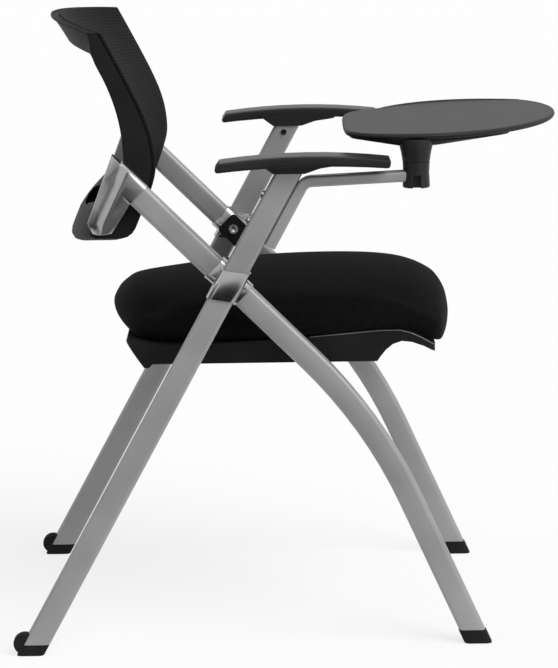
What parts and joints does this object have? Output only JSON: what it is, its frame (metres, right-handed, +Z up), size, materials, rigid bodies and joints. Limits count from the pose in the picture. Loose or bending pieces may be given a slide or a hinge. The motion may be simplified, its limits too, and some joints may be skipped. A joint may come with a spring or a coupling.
{
  "type": "folding desk chair with writing tablet",
  "caption": "Folding chair with crossing tube legs, upholstered flip-up seat, concave mesh back, armrests and a writing tablet that swivels on a post beside the right arm.",
  "frame": {"origin": "on the floor, under the middle of the chair's box", "axes": "+X the way the sitter faces, +Y the sitter's left, +Z up"},
  "size_m": [0.7208, 0.579, 0.8105],
  "materials": {
    "silver_paint": "satin silver-grey powder coat",
    "chrome": "bright plated",
    "black_plastic": "black, fine moulded grain",
    "tablet_plastic": "dark grey, fine moulded grain",
    "seat_fabric": "black woven upholstery",
    "back_mesh": "black stretched mesh",
    "zinc_steel": "zinc plated",
    "nylon": "natural",
    "plywood": "raw",
    "rubber": "black, matt"
  },
  "bodies": {
    "front_frame": {"front_leg_tube_R": "silver_paint", "front_leg_tube_L": "silver_paint", "front_crossbar": "silver_paint", "front_foot_R": "black_plastic", "front_foot_L": "black_plastic", "pivot_sleeve_R": "chrome", "pivot_sleeve_L": "chrome", "pivot_cover_R": "black_plastic", "pivot_cover_L": "black_plastic", "pivot_bolt_R": "zinc_steel", "pivot_bolt_L": "zinc_steel", "pivot_spacer_R": "nylon", "pivot_spacer_L": "nylon", "back_elbow_R": "chrome", "back_elbow_L": "chrome", "back_cross_rail": "black_plastic", "back_frame": "black_plastic", "back_carrier": "black_plastic", "back_mesh": "back_mesh"},
    "rear_frame": {"rear_leg_tube_R": "silver_paint", "rear_leg_tube_L": "silver_paint", "rear_crossbar": "silver_paint", "rear_foot_R": "black_plastic", "rear_foot_L": "black_plastic", "roller_axle_R": "zinc_steel", "roller_axle_L": "zinc_steel", "pivot_collar_R": "chrome", "pivot_collar_L": "chrome", "pivot_nut_R": "zinc_steel", "pivot_nut_L": "zinc_steel", "armrest_R": "black_plastic", "armrest_L": "black_plastic", "arm_screw_R": "black_plastic", "arm_screw_L": "black_plastic", "tablet_arm": "silver_paint", "tablet_arm_bolt_lower": "zinc_steel", "tablet_arm_bolt_upper": "zinc_steel", "tablet_socket": "black_plastic", "tablet_spindle": "zinc_steel"},
    "seat": {"seat_cushion": "seat_fabric", "seat_board": "plywood", "seat_pan": "black_plastic", "seat_hinge_saddle_R": "nylon", "seat_hinge_saddle_L": "nylon", "seat_bumper_R": "rubber", "seat_bumper_L": "rubber"},
    "tablet": {"tablet_board": "tablet_plastic", "tablet_stiffener": "black_plastic", "tablet_hub": "black_plastic"},
    "roller_right": {"roller_R": "rubber"},
    "roller_left": {"roller_L": "rubber"}
  },
  "joints": [
    {"name": "frame_fold", "type": "hinge", "parent": "front_frame", "child": "rear_frame", "pos_m": [-0.0735, 0, 0.4825], "axis": [0, -1, 0], "range_deg": [0, 50]},
    {"name": "seat_flip", "type": "hinge", "parent": "rear_frame", "child": "seat", "pos_m": [-0.12985, 0, 0.38], "axis": [0, -1, 0], "range_deg": [0, 40]},
    {"name": "tablet_swivel", "type": "hinge", "parent": "rear_frame", "child": "tablet", "pos_m": [0.165, -0.251, 0.6375], "axis": [0, 0, 1], "range_deg": [-180, 0]},
    {"name": "roller_right_spin", "type": "hinge", "parent": "rear_frame", "child": "roller_right", "pos_m": [-0.346, -0.251, 0.0152], "axis": [0, 1, 0], "continuous": true},
    {"name": "roller_left_spin", "type": "hinge", "parent": "rear_frame", "child": "roller_left", "pos_m": [-0.346, 0.251, 0.0152], "axis": [0, 1, 0], "continuous": true}
  ],
  "couplings": [
    {"joint": "seat_flip", "follows": "frame_fold", "ratio": 0.8}
  ]
}
